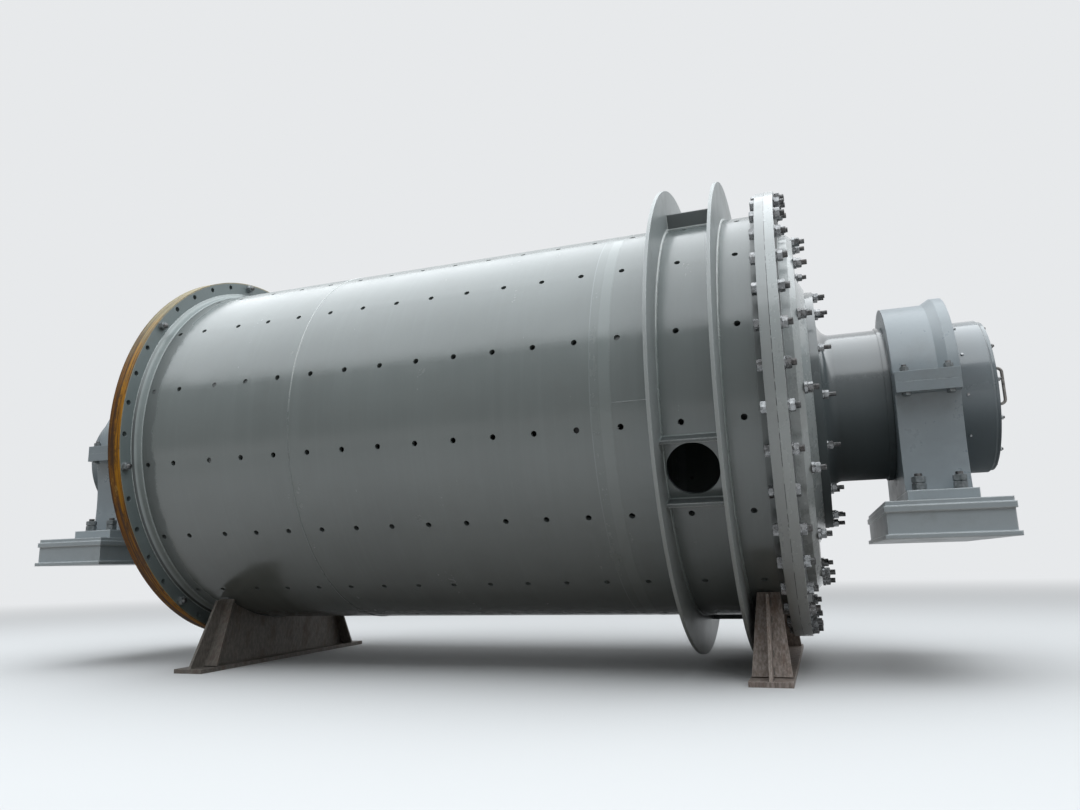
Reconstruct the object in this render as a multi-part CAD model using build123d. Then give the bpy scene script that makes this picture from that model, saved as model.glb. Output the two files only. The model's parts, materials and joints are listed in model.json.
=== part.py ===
from build123d import *
import os
from math import sqrt

# Rod mill, 3.2 m inside diameter: a bolted drum with two heads, two trunnions in split
# bearings, and two transport cradles. Lengths are in millimetres.
# The drum is modelled about the X axis, from the feed end (low x) to the discharge end.
# Along the drum, x = 0 is the outer face of the feed head's flange.

os.makedirs("parts", exist_ok=True)

# Drum shell
shell_bore = 3200
shell_wall = 35
feed_joint_x = 62
discharge_joint_x = 5408
first_seam_x = 1672
second_seam_x = 4200

# Holes for the liner bolts, in rows along the drum
liner_hole_diameter = 44
liner_hole_sides = 12
liner_row_count = 16
first_liner_row_angle = 34.85
first_liner_column_x = 896
liner_column_pitch = 315.5
liner_column_count = 12
end_liner_columns_x = (257, 527, 4780, 5192)

# Shell and head flanges
flange_rise = 165
feed_flange_thickness = 62
discharge_flange_thickness = 66
flange_bolt_count = 40
feed_hole_diameter = 45
feed_hole_edge_distance = 50
discharge_hole_diameter = 52
discharge_hole_edge_distance = 56
feed_bolt_phase = -1.0
discharge_bolt_phase = 0.5
collar_length = 90
collar_rise = 60

# Discharge rings, ports and the cross plates beside each port
ring_rise = 308
ring_thickness = 24
inner_ring_x = 4616
outer_ring_x = 5041
port_diameter = 360
port_x = 4829
port_count = 4
first_port_angle = -21.4
port_box_half_width = 205
cross_plate_thickness = 26
cross_plate_height = 105

# Heads, measured outward from the joint with the shell
head_rim_diameter = 2890
head_rim_depth = 64
head_chamfer = 40
head_face_diameter = 2190
head_hub_diameter = 1970
head_hub_height = 56
head_hub_bore = 1240
head_wall = 105
head_spigot_depth = 20
spigot_clearance = 1

# Trunnions
trunnion_diameter = 1200
trunnion_bore = 900
trunnion_flange_diameter = 1930
trunnion_flange_thickness = 60
boss_diameter = 1510
boss_fillet = 105
trunnion_spigot_depth = 50
feed_bearing_reach = 1118
discharge_bearing_reach = 989
seal_ring_diameter = 1226
seal_ring_width = 40
seal_ring_gap = 8

# End drums and covers
end_drum_diameter = 1180
end_drum_length = 246
end_drum_chamfer = 14
end_drum_wall = 60
end_drum_gap = 8
cover_thickness = 20
handle_bar = 22
handle_bend = 33
handle_height = 264
handle_reach = 64
handle_offset_y = -450
handle_offset_z = -13

# Main bearings
bearing_length = 424
bush_wall = 80
running_clearance = 0.06
cap_radius = 755
band_radius = 795
band_start = 300
band_chamfer = 65
band_overhang = 12
lug_half_width = 863
lug_height = 75
pedestal_top_half_width = 760
pedestal_waist_half_width = 715
pedestal_foot_half_width = 730
pedestal_waist_share = 0.62
pedestal_height = 768
base_plate_height = 75
base_plate_half_width = 930
base_plate_overhang = 8
sole_length = 786
sole_half_width = 1085
sole_strip = 32
sole_strip_inset = 12
sole_top_plate = 42
sole_web_height = 146
sole_web = 20
sole_web_inset = 12
sole_bottom_plate = 31
sole_bottom_overhang = 8
feed_sole_offset = -113
discharge_sole_offset = 3

# Transport cradles
ring_floor_gap = 80
feed_cradle_x = 475
discharge_cradle_x = 5204
cradle_gap = 5
cradle_web = 25
cradle_base_thickness = 35
cradle_base_reach = 205
cradle_base_length = 288
cradle_top_half_width = 800
cradle_foot_half_width = 1045
cradle_top_drop = 1440
cradle_side_thickness = 20
cradle_side_top = 158
cradle_side_foot = 270
cradle_rib_thickness = 22
cradle_rib_foot_depth = 168
cradle_rib_top_depth = 120

# Worked-out places
shell_radius = shell_bore / 2 + shell_wall
flange_radius = shell_radius + flange_rise
ring_radius = shell_radius + ring_rise
axis_height = ring_radius + ring_floor_gap
trunnion_radius = trunnion_diameter / 2
end_span = bearing_length / 2 + end_drum_gap + end_drum_length + cover_thickness + handle_reach
feed_tip_x = feed_joint_x - feed_bearing_reach - end_span
discharge_tip_x = discharge_joint_x + discharge_bearing_reach + end_span
middle_x = (feed_tip_x + discharge_tip_x) / 2


def place(shape):
    """Move a shape from the drum's own frame to the frame of the whole mill."""
    return Pos(-middle_x, 0, axis_height) * shape


def save(name, shape):
    export_step(place(shape), f"parts/{name}.step")


def turned(corners):
    """Solid of revolution about the drum axis from (x, radius) corners."""
    return revolve(Plane.XZ * make_face(Polyline(*corners, close=True)), Axis.X)


def ring(x_low, x_high, inner, outer):
    return turned([(x_low, inner), (x_high, inner), (x_high, outer), (x_low, outer)])


def radial(x, angle, radius):
    """Frame at a point of the drum: its z runs outward. The angle is 0 on the -Y side, upward."""
    return Pos(x, 0, 0) * Rot(90 - angle, 0, 0) * Pos(0, 0, radius)


def bolt_holes(x_low, x_high, feed):
    """Cutters for the round holes through a flange at one end, on that end's bolt circle."""
    phase = feed_bolt_phase if feed else discharge_bolt_phase
    diameter = feed_hole_diameter if feed else discharge_hole_diameter
    radius = flange_radius - (feed_hole_edge_distance if feed else discharge_hole_edge_distance)
    tool = Rot(0, 90, 0) * Cylinder(diameter / 2, x_high - x_low)
    return [radial((x_low + x_high) / 2, phase + index * 360 / flange_bolt_count, radius) * tool
            for index in range(flange_bolt_count)]


def outward(shape, joint_x, feed):
    """Put a shape that is modelled outward from its joint at one end of the drum."""
    if feed:
        return Pos(joint_x, 0, 0) * mirror(shape, about=Plane.YZ)
    return Pos(joint_x, 0, 0) * shape


def liner_holes(x_low, x_high):
    """Cutters for the liner bolt holes that lie between two places along the drum, as many-sided prisms."""
    columns = [first_liner_column_x + index * liner_column_pitch for index in range(liner_column_count)]
    columns += end_liner_columns_x
    tool = extrude(RegularPolygon(liner_hole_diameter / 2, liner_hole_sides), 2 * shell_wall, both=True)
    return [radial(x, first_liner_row_angle + row * 360 / liner_row_count, shell_radius) * tool
            for x in columns if x_low < x < x_high for row in range(liner_row_count)]


def shell_course(x_low, x_high):
    return ring(x_low, x_high, shell_bore / 2, shell_radius) - liner_holes(x_low, x_high)


def ports():
    """Cutters for the discharge ports."""
    tool = Cylinder(port_diameter / 2, 4 * shell_wall)
    return [radial(port_x, first_port_angle + index * 360 / port_count, shell_radius) * tool
            for index in range(port_count)]


def cross_plates():
    """Plates between the two discharge rings, one on each side of every port."""
    low = inner_ring_x + ring_thickness
    length = outer_ring_x - low
    reach = shell_radius + cross_plate_height
    plates = []
    for index in range(port_count):
        frame = Pos(low + length / 2, 0, 0) * Rot(90 - first_port_angle - index * 360 / port_count, 0, 0)
        for side in (-1, 1):
            offset = side * (port_box_half_width + cross_plate_thickness / 2)
            block = Pos(0, offset, reach / 2) * Box(length, cross_plate_thickness, reach)
            plates.append(frame * block)
    drum = Pos(low + length / 2, 0, 0) * Rot(0, 90, 0) * Cylinder(shell_radius, 2 * length)
    return [plate - drum for plate in plates]


def shell_flange(x_low, x_high, feed):
    return ring(x_low, x_high, shell_radius, flange_radius) - bolt_holes(x_low, x_high, feed)


def head(flange_thickness, feed):
    """Cast head with its bolted rim, chamfered step, flat face and conical hub."""
    rim = head_rim_diameter / 2
    face = head_face_diameter / 2
    hub = head_hub_diameter / 2
    bore = head_hub_bore / 2
    spigot = shell_bore / 2 - spigot_clearance
    face_u = flange_thickness + head_rim_depth + head_chamfer
    hub_u = face_u + head_hub_height
    outline = [(-head_spigot_depth, spigot - head_wall / 2), (-head_spigot_depth, spigot), (0, spigot),
               (0, flange_radius), (flange_thickness, flange_radius), (flange_thickness, rim),
               (flange_thickness + head_rim_depth, rim), (face_u, rim - head_chamfer), (face_u, face),
               (hub_u, hub), (hub_u, bore), (hub_u - head_wall, bore), (face_u - head_wall, face),
               (face_u - head_wall, rim)]
    return turned(outline) - bolt_holes(0, flange_thickness, feed)


def trunnion(flange_thickness, reach):
    """Flanged trunnion with a filleted boss, a locating spigot and a through bore."""
    seat = flange_thickness + head_rim_depth + head_chamfer + head_hub_height
    flange_end = seat + trunnion_flange_thickness
    end = reach + bearing_length / 2 + end_drum_gap
    spigot = head_hub_bore / 2 - spigot_clearance
    bore = trunnion_bore / 2
    boss = boss_diameter / 2
    drop = boss - trunnion_radius
    with BuildSketch() as profile:
        with BuildLine():
            Polyline((seat - trunnion_spigot_depth, bore), (seat - trunnion_spigot_depth, spigot),
                     (seat, spigot), (seat, trunnion_flange_diameter / 2),
                     (flange_end, trunnion_flange_diameter / 2), (flange_end, boss))
            EllipticalCenterArc((flange_end + boss_fillet, boss), boss_fillet, drop, 180, arc_size=90)
            Polyline((flange_end + boss_fillet, trunnion_radius), (end, trunnion_radius), (end, bore),
                     (seat - trunnion_spigot_depth, bore))
        make_face()
    return revolve(Plane.XZ * profile.sketch, Axis.X)


def seal_ring(reach):
    end = reach - bearing_length / 2 - seal_ring_gap
    return ring(end - seal_ring_width, end, trunnion_radius, seal_ring_diameter / 2)


def end_drum(reach):
    """Short drum bolted to the trunnion's end, outside the bearing."""
    low = reach + bearing_length / 2 + end_drum_gap
    high = low + end_drum_length
    outer = end_drum_diameter / 2
    inner = outer - end_drum_wall
    return turned([(low, inner), (low, outer), (high - end_drum_chamfer, outer),
                   (high, outer - end_drum_chamfer), (high, inner)])


def end_cover(reach):
    low = reach + bearing_length / 2 + end_drum_gap + end_drum_length
    disc = Rot(0, 90, 0) * Cylinder(end_drum_diameter / 2 - end_drum_chamfer, cover_thickness)
    return Pos(low + cover_thickness / 2, 0, 0) * disc


def cover_handle(reach):
    """Upright bar handle, bent from one round bar, on the end cover."""
    face = reach + bearing_length / 2 + end_drum_gap + end_drum_length + cover_thickness
    tip = face + handle_reach - handle_bar / 2
    y = handle_offset_y
    low = handle_offset_z - handle_height / 2
    high = handle_offset_z + handle_height / 2
    path = FilletPolyline((face, y, low), (tip, y, low), (tip, y, high), (face, y, high), radius=handle_bend)
    section = Plane(origin=path @ 0, z_dir=path % 0) * Circle(handle_bar / 2)
    return sweep(section, path=path)


def bearing_bush(center):
    half = bearing_length / 2
    inner = trunnion_radius + running_clearance
    return ring(center - half, center + half, inner, trunnion_radius + bush_wall)


def half_space(upper):
    """Large block above or below the level of the drum axis."""
    size = 4 * flange_radius
    return Pos(0, 0, size / 2 if upper else -size / 2) * Box(size, size, size)


def lugs(center, upper):
    """Pair of clamping lugs at the bearing's split."""
    bore = trunnion_radius + bush_wall
    z = lug_height / 2 if upper else -lug_height / 2
    bar = Pos(center, 0, z) * Box(bearing_length, 2 * lug_half_width, lug_height)
    return bar - Pos(center, 0, 0) * Rot(0, 90, 0) * Cylinder(bore, 2 * bearing_length)


def bearing_cap(center):
    """Upper half of the bearing, with a raised, chamfered band at its high x end."""
    low = center - bearing_length / 2
    high = center + bearing_length / 2 + band_overhang
    slope = low + band_start
    bore = trunnion_radius + bush_wall
    body = turned([(low, bore), (high, bore), (high, band_radius), (slope + band_chamfer, band_radius),
                   (slope, cap_radius), (low, cap_radius)])
    return (body & Pos(center, 0, 0) * half_space(True)) + lugs(center, True)


def bearing_housing(center):
    """Lower half of the bearing on its waisted pedestal."""
    top = pedestal_top_half_width
    waist = pedestal_waist_half_width
    foot = pedestal_foot_half_width
    waist_level = -pedestal_waist_share * pedestal_height
    with BuildSketch() as profile:
        with BuildLine():
            Polyline((-foot, -pedestal_height), (foot, -pedestal_height))
            ThreePointArc((foot, -pedestal_height), (waist, waist_level), (top, -lug_height))
            Line((top, -lug_height), (top, 0))
            Line((top, 0), (-top, 0))
            Line((-top, 0), (-top, -lug_height))
            ThreePointArc((-top, -lug_height), (-waist, waist_level), (-foot, -pedestal_height))
        make_face()
    body = extrude(Plane.YZ * profile.sketch, bearing_length / 2, both=True)
    bore = Rot(0, 90, 0) * Cylinder(trunnion_radius + bush_wall, 2 * bearing_length)
    return Pos(center, 0, 0) * (body - bore) + lugs(center, False)


def bearing_base(center):
    z = -pedestal_height - base_plate_height / 2
    length = bearing_length + 2 * base_plate_overhang
    return Pos(center, 0, z) * Box(length, 2 * base_plate_half_width, base_plate_height)


def sole_layer(inset, thickness):
    """Plate of the sole frame, smaller than its top plate by the inset all round."""
    return Box(sole_length - 2 * inset, 2 * (sole_half_width - inset), thickness,
               align=(Align.CENTER, Align.CENTER, Align.MAX))


def sole_frame(center):
    """Fabricated sole: a levelling strip and a top plate on a box of webs, with a wider bottom plate."""
    webs = sole_layer(sole_web_inset, sole_web_height) - sole_layer(sole_web_inset + sole_web, sole_web_height)
    level = -pedestal_height - base_plate_height
    layers = []
    for shape, thickness in ((sole_layer(sole_strip_inset, sole_strip), sole_strip),
                             (sole_layer(0, sole_top_plate), sole_top_plate), (webs, sole_web_height),
                             (sole_layer(-sole_bottom_overhang, sole_bottom_plate), sole_bottom_plate)):
        layers.append(Pos(center, 0, level) * shape)
        level -= thickness
    return layers[0].fuse(*layers[1:])


def saddle_cut(x):
    """Round space of the drum above a cradle, with its gap."""
    return Pos(x, 0, 0) * Rot(0, 90, 0) * Cylinder(shell_radius + cradle_gap, 4 * cradle_base_length)


def cradle_floor():
    """Level of the cradle's base plate top."""
    return -axis_height + cradle_base_thickness


def cradle_web_plate(x):
    """Upright saddle plate with a round top and sloping ends."""
    top = cradle_top_half_width
    foot = cradle_foot_half_width
    low = cradle_floor()
    high = -cradle_top_drop
    corners = [(-foot, low), (foot, low), (top, high), (-top, high)]
    outline = Plane.YZ * make_face(Polyline(*corners, close=True))
    return Pos(x, 0, 0) * extrude(outline, cradle_web / 2, both=True) - saddle_cut(x)


def cradle_sides(x):
    """Sloping end plates of a cradle, wider at the foot."""
    rise = -cradle_top_drop - cradle_floor()
    run = cradle_foot_half_width - cradle_top_half_width
    slope = sqrt(rise * rise + run * run)
    corners = [(-cradle_side_foot / 2, 0), (cradle_side_foot / 2, 0), (cradle_side_top / 2, slope),
               (-cradle_side_top / 2, slope)]
    sides = []
    for side in (-1, 1):
        along = Vector(0, -side * run, rise).normalized()
        normal = Vector(0, side * rise, run).normalized()
        frame = Plane(origin=(x, side * cradle_foot_half_width, cradle_floor()), x_dir=along.cross(normal),
                      z_dir=normal)
        plate = extrude(frame * make_face(Polyline(*corners, close=True)), cradle_side_thickness)
        level = Pos(x, 0, cradle_floor() - axis_height / 2) * Box(axis_height, 2 * axis_height, axis_height)
        sides.append(plate - level - saddle_cut(x))
    return sides


def cradle_ribs(x):
    """Outer ribs that stand on the base plate, in line with the saddle plate."""
    low = cradle_floor()
    high = -cradle_top_drop
    rise = high - low
    run = cradle_foot_half_width - cradle_top_half_width
    step = cradle_side_thickness * sqrt(rise * rise + run * run) / rise
    foot = cradle_foot_half_width + step
    top = cradle_top_half_width + step
    ribs = []
    for side in (-1, 1):
        corners = [(side * foot, low), (side * (foot + cradle_rib_foot_depth), low),
                   (side * (top + cradle_rib_top_depth), high), (side * top, high)]
        outline = Plane.YZ * make_face(Polyline(*corners, close=True))
        ribs.append(Pos(x, 0, 0) * extrude(outline, cradle_rib_thickness / 2, both=True) - saddle_cut(x))
    return ribs


def cradle_base(x):
    """Base plate, which reaches past the foot of the saddle plate on both sides."""
    half_width = cradle_foot_half_width + cradle_base_reach
    z = -axis_height + cradle_base_thickness / 2
    return Pos(x, 0, z) * Box(cradle_base_length, 2 * half_width, cradle_base_thickness)


# Shell
save("shell_feed_course", shell_course(feed_joint_x, first_seam_x))
save("shell_middle_course", shell_course(first_seam_x, second_seam_x))
save("shell_discharge_course", shell_course(second_seam_x, discharge_joint_x) - ports())

# Flanges and rings welded on the shell
feed_flange_end = feed_joint_x + feed_flange_thickness
save("shell_feed_flange", shell_flange(feed_joint_x, feed_flange_end, True))
discharge_flange_start = discharge_joint_x - discharge_flange_thickness
save("shell_discharge_flange", shell_flange(discharge_flange_start, discharge_joint_x, False))
save("feed_collar", turned([(feed_flange_end, shell_radius), (feed_flange_end + collar_length, shell_radius),
                            (feed_flange_end, shell_radius + collar_rise)]))
save("discharge_ring_inner", ring(inner_ring_x, inner_ring_x + ring_thickness, shell_radius, ring_radius))
save("discharge_ring_outer", ring(outer_ring_x, outer_ring_x + ring_thickness, shell_radius, ring_radius))
save("discharge_cross_plates", Compound(cross_plates()))

# The two ends
ends = [("feed", feed_joint_x, feed_bearing_reach, feed_flange_thickness, True),
        ("discharge", discharge_joint_x, discharge_bearing_reach, discharge_flange_thickness, False)]
for name, joint_x, reach, thickness, feed in ends:
    save(f"{name}_head", outward(head(thickness, feed), joint_x, feed))
    save(f"{name}_trunnion", outward(trunnion(thickness, reach), joint_x, feed))
    save(f"{name}_seal_ring", outward(seal_ring(reach), joint_x, feed))
    save(f"{name}_end_drum", outward(end_drum(reach), joint_x, feed))
    save(f"{name}_end_cover", outward(end_cover(reach), joint_x, feed))
    save(f"{name}_cover_handle", outward(cover_handle(reach), joint_x, feed))

    center = joint_x - reach if feed else joint_x + reach
    save(f"{name}_bearing_bush", bearing_bush(center))
    save(f"{name}_bearing_cap", bearing_cap(center))
    save(f"{name}_bearing_housing", bearing_housing(center))
    save(f"{name}_bearing_base", bearing_base(center))
    save(f"{name}_sole_frame", sole_frame(center + (feed_sole_offset if feed else discharge_sole_offset)))

# Transport cradles
for name, x in (("feed", feed_cradle_x), ("discharge", discharge_cradle_x)):
    save(f"{name}_cradle_web", cradle_web_plate(x))
    save(f"{name}_cradle_sides", Compound(cradle_sides(x)))
    save(f"{name}_cradle_ribs", Compound(cradle_ribs(x)))
    save(f"{name}_cradle_base", cradle_base(x))
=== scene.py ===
import json
from math import cos, pi, radians, sin, sqrt, tau

import bpy
import numpy as np
from mathutils import Matrix, Vector


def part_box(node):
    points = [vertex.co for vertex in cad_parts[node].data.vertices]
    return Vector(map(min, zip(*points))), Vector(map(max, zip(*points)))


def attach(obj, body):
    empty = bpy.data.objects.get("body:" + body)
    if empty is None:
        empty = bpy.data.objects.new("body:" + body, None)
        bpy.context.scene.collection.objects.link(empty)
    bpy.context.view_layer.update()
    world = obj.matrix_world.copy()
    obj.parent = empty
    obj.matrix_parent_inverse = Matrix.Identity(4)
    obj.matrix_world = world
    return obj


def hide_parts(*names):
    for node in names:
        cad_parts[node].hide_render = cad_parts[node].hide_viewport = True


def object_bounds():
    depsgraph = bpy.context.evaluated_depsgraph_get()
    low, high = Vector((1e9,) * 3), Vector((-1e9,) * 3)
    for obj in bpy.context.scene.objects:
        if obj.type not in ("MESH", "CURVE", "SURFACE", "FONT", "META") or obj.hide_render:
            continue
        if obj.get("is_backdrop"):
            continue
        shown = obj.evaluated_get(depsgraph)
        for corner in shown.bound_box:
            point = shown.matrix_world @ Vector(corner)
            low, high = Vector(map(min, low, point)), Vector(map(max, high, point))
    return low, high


# Looks of the rod mill: materials, bolts, nuts, weld beads, the floor and the light.
# Everything is in metres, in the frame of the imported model.

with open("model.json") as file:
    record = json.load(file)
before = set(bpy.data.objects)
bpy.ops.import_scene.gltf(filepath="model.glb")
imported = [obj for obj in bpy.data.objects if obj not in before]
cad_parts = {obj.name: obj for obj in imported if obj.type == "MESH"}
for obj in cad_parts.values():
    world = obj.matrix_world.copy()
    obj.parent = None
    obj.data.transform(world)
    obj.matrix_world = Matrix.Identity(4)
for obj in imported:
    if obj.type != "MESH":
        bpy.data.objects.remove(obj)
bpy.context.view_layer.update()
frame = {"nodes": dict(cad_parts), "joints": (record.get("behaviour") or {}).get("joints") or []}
rng = np.random.default_rng(7)

# The drum's own axis, and its zero at the outer face of the feed head's flange
AXIS_HEIGHT = frame["joints"][0]["pos_m"][2]
FEED_FLANGE_THICKNESS = 0.062
HEAD_FLANGE_THICKNESS = 0.066
DRUM_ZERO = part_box("shell_feed_flange")[0].x - FEED_FLANGE_THICKNESS
SHELL_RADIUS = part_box("shell_middle_course")[1].y
FLANGE_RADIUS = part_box("shell_feed_flange")[1].y
JOINT_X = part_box("shell_discharge_flange")[1].x
FEED_CIRCLE_RADIUS = FLANGE_RADIUS - 0.05
DISCHARGE_CIRCLE_RADIUS = FLANGE_RADIUS - 0.056
ENDS = ("feed", "discharge")


def along(mm):
    """Row x of a place on the drum, given in millimetres from the drum's own zero."""
    return DRUM_ZERO + mm / 1000


# Shader nodes by short names
def node(tree, kind, sockets=None, **settings):
    """New shader node. Each socket gets a value, or a link from another node's output."""
    made = tree.nodes.new(kind)
    for key, value in settings.items():
        setattr(made, key, value)
    for key, value in (sockets or {}).items():
        if isinstance(value, bpy.types.NodeSocket):
            tree.links.new(value, made.inputs[key])
        else:
            made.inputs[key].default_value = value
    return made


def calc(tree, operation, first, second=0.0, clamp=False):
    """Result of a math node."""
    made = node(tree, "ShaderNodeMath", {0: first, 1: second}, operation=operation, use_clamp=clamp)
    return made.outputs[0]


def plus(tree, first, second):
    """Sum of two values."""
    return calc(tree, "ADD", first, second)


def minus(tree, first, second):
    """First value less the second."""
    return calc(tree, "SUBTRACT", first, second)


def times(tree, first, second):
    """Product of two values."""
    return calc(tree, "MULTIPLY", first, second)


def waver(tree, pattern, reach):
    """Shift to either side that follows a pattern of 0 to 1, by half the reach at most."""
    return times(tree, minus(tree, pattern, 0.5), reach)


def ease(tree, value, low, high, start=0.0, end=1.0):
    """Smooth step of a value from start at low to end at high."""
    made = node(tree, "ShaderNodeMapRange", {"Value": value, "From Min": low, "From Max": high,
                                             "To Min": start, "To Max": end}, interpolation_type="SMOOTHSTEP")
    return made.outputs["Result"]


def near(tree, value, middle, inner, outer):
    """1 within inner of the middle value, falling to 0 at outer."""
    distance = calc(tree, "ABSOLUTE", minus(tree, value, middle))
    return ease(tree, distance, inner, outer, 1.0, 0.0)


def blend(tree, factor, first, second):
    """Mix of two colours."""
    made = node(tree, "ShaderNodeMix", data_type="RGBA")
    for index, value in ((0, factor), (6, first), (7, second)):
        if isinstance(value, bpy.types.NodeSocket):
            tree.links.new(value, made.inputs[index])
        elif index:
            made.inputs[index].default_value = (*value, 1)
        else:
            made.inputs[index].default_value = value
    return made.outputs[2]


def noise(tree, vector, scale, detail=4.0, roughness=0.55):
    """Noise pattern, 0 to 1."""
    made = node(tree, "ShaderNodeTexNoise", {"Vector": vector, "Scale": scale, "Detail": detail,
                                             "Roughness": roughness})
    return made.outputs["Fac"]


def stretched(tree, vector, scale):
    """Place multiplied by a scale for each axis."""
    return node(tree, "ShaderNodeVectorMath", {0: vector, 1: scale}, operation="MULTIPLY").outputs[0]


def new_material(name):
    """(material, node tree, shader, shaded place in the row frame)."""
    material = bpy.data.materials.new(name)
    material.use_nodes = True
    tree = material.node_tree
    return material, tree, tree.nodes["Principled BSDF"], node(tree, "ShaderNodeTexCoord").outputs["Object"]


def drum_place(tree, place):
    """(x, radius from the drum axis, height over the drum axis) of a shaded point."""
    parts = node(tree, "ShaderNodeSeparateXYZ", {0: place})
    height = minus(tree, parts.outputs[2], AXIS_HEIGHT)
    square = plus(tree, calc(tree, "POWER", parts.outputs[1], 2.0), calc(tree, "POWER", height, 2.0))
    return parts.outputs[0], calc(tree, "SQRT", square), height


def rounded(tree, radius):
    """Normal of a surface whose edges are rounded to a radius."""
    return node(tree, "ShaderNodeBevel", {"Radius": radius}, samples=4).outputs[0]


def edge_mask(tree, soft_normal):
    """1 along sharp edges, 0 on flat faces."""
    normal = node(tree, "ShaderNodeNewGeometry").outputs["Normal"]
    compared = node(tree, "ShaderNodeVectorMath", {0: soft_normal, 1: normal}, operation="DOT_PRODUCT")
    return ease(tree, compared.outputs["Value"], 0.995, 0.86)


def bumped(tree, height, distance, normal):
    """Normal with a small relief over it."""
    made = node(tree, "ShaderNodeBump", {"Height": height, "Distance": distance, "Strength": 1.0,
                                         "Normal": normal})
    return made.outputs[0]


# Colours that lie over the paint
GRIME_BROWN = (0.13, 0.12, 0.1)
SPECK_GREY = (0.5, 0.5, 0.48)
# Painted shade in the hollow of the feed collar
FILLET_SHADE_BLACK = (0.02, 0.026, 0.026)
JOINT_BLACK = (0.006, 0.006, 0.007)
SPLIT_BLACK = (0.01, 0.01, 0.011)
LIP_BUFF = (0.34, 0.3, 0.2)
RUST_BROWN = (0.075, 0.026, 0.004)
RUST_ORANGE = (0.42, 0.185, 0.008)
OLD_RUST_DARK = (0.04, 0.016, 0.005)
OLD_RUST_LIGHT = (0.17, 0.06, 0.01)
BLOTCH_DARK = (0.045, 0.02, 0.007)
BLOTCH_LIGHT = (0.42, 0.24, 0.05)
FILM_DARK = (0.16, 0.12, 0.06)
FILM_LIGHT = (0.36, 0.33, 0.2)
PALEST_EDGE = 0.75


class PaintLook:
    """Paint while it is built up: its nodes and patterns, and its colour and roughness so far."""

    def __init__(self, name, colour, roughness, mottle):
        self.material, self.tree, self.shader, self.place = new_material(name)
        self.base = np.array(colour)
        tree = self.tree
        self.x, self.radius, self.height = drum_place(tree, self.place)
        self.broad = noise(tree, self.place, 0.9, 3.0)
        self.patch = noise(tree, self.place, 5.0, 6.0, 0.6)
        self.cloud = noise(tree, self.place, 38.0, 5.0, 0.65)
        self.tone = blend(tree, ease(tree, self.broad, 0.3, 0.7), self.shade(0.94), self.shade(1.05))
        self.cover(ease(tree, self.patch, 0.45, 0.75, 0.0, 0.45 * mottle), self.shade((1.12, 1.1, 1.07)))
        self.cover(ease(tree, self.cloud, 0.5, 0.8, 0.0, 0.3 * mottle), self.shade((0.8, 0.82, 0.82)))
        patchy = ease(tree, self.patch, 0.3, 0.75, roughness - 0.05 * mottle, roughness + 0.08 * mottle)
        self.rough = plus(tree, patchy, ease(tree, self.cloud, 0.4, 0.8, -0.02 * mottle, 0.05 * mottle))

    def shade(self, factor):
        """The paint's own colour, lighter or darker."""
        return tuple(self.base * factor)

    def cover(self, mask, colour):
        """Lay a colour over the paint where the mask is 1."""
        self.tone = blend(self.tree, mask, self.tone, colour)

    def roughen(self, mask, change):
        """Change the roughness where the mask is 1."""
        self.rough = plus(self.tree, self.rough, times(self.tree, mask, change))

    def drive(self, socket, value):
        """Link a value to one of the shader's sockets."""
        self.tree.links.new(value, self.shader.inputs[socket])


def spray_bands(look):
    """Faint lighter bands round the drum, as spraying it in turns leaves them."""
    tree = look.tree
    bands = noise(tree, stretched(tree, look.place, (11.0, 0.45, 0.45)), 1.0, 6.0, 0.62)
    look.cover(ease(tree, bands, 0.42, 0.72, 0.0, 0.28), look.shade(1.2))
    look.rough = plus(tree, look.rough, ease(tree, bands, 0.3, 0.7, -0.025, 0.035))


def round_mark(look, middle, half, light, change):
    """A band round the drum that is lighter or darker, and duller or glossier."""
    tree = look.tree
    wandering = plus(tree, look.x, waver(tree, look.patch, half * 0.5))
    inside = near(tree, wandering, middle, half * 0.8, half * 1.15)
    look.cover(times(tree, inside, 0.8), look.shade(light))
    look.roughen(inside, change)


def dull_overspray(look, start, end):
    """A dull, dark coat along the drum from start to a ragged end."""
    tree = look.tree
    ragged = plus(tree, waver(tree, look.patch, 0.16), waver(tree, look.cloud, 0.05))
    before_end = ease(tree, plus(tree, look.x, ragged), end - 0.012, end + 0.012, 1.0, 0.0)
    inside = times(tree, before_end, calc(tree, "GREATER_THAN", look.x, start))
    look.cover(inside, look.shade(0.68))
    look.roughen(inside, 0.3)


def painted_fillet_shade(look, middle, half):
    """Painted shade in the collar's hollow: a dark line round the drum on an end face, fading out toward the
    top, where light reaches it.
    """
    tree = look.tree
    fade = ease(tree, look.height, -0.2, 1.3, 0.95, 0.1)
    look.cover(times(tree, near(tree, look.radius, middle, half * 0.5, half), fade), FILLET_SHADE_BLACK)


def grimy(look, amount):
    """Dull brown grime in patches."""
    tree = look.tree
    dirt = times(tree, ease(tree, noise(tree, look.place, 2.3, 9.0, 0.7), 0.5, 0.78), amount)
    look.cover(dirt, GRIME_BROWN)
    look.roughen(dirt, 0.5)


def painted_shadow_ring(look, face_x, low_radius, high_radius, coat):
    """A painted shadow on a flat face of the drum: a dark, dull ring without clear coat."""
    tree = look.tree
    inside = times(tree, ease(tree, look.radius, low_radius, low_radius + 0.02),
                   ease(tree, look.radius, high_radius - 0.03, high_radius, 1.0, 0.0))
    inside = times(tree, inside, near(tree, look.x, face_x, 0.003, 0.006))
    look.cover(inside, look.shade(0.19))
    look.roughen(inside, 0.35)
    look.drive("Coat Weight", times(tree, minus(tree, 1.0, inside), coat))


def gloss_above(look, low, high, coat):
    """Dull paint below one height over the axis, and full gloss above the other."""
    tree = look.tree
    gloss = ease(tree, look.height, low, high)
    look.rough = plus(tree, look.rough, minus(tree, 0.4, times(tree, gloss, 0.4)))
    look.drive("Coat Weight", times(tree, gloss, coat))
    look.drive("Specular IOR Level", ease(tree, gloss, 0.0, 1.0, 0.2, 1.0))


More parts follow.
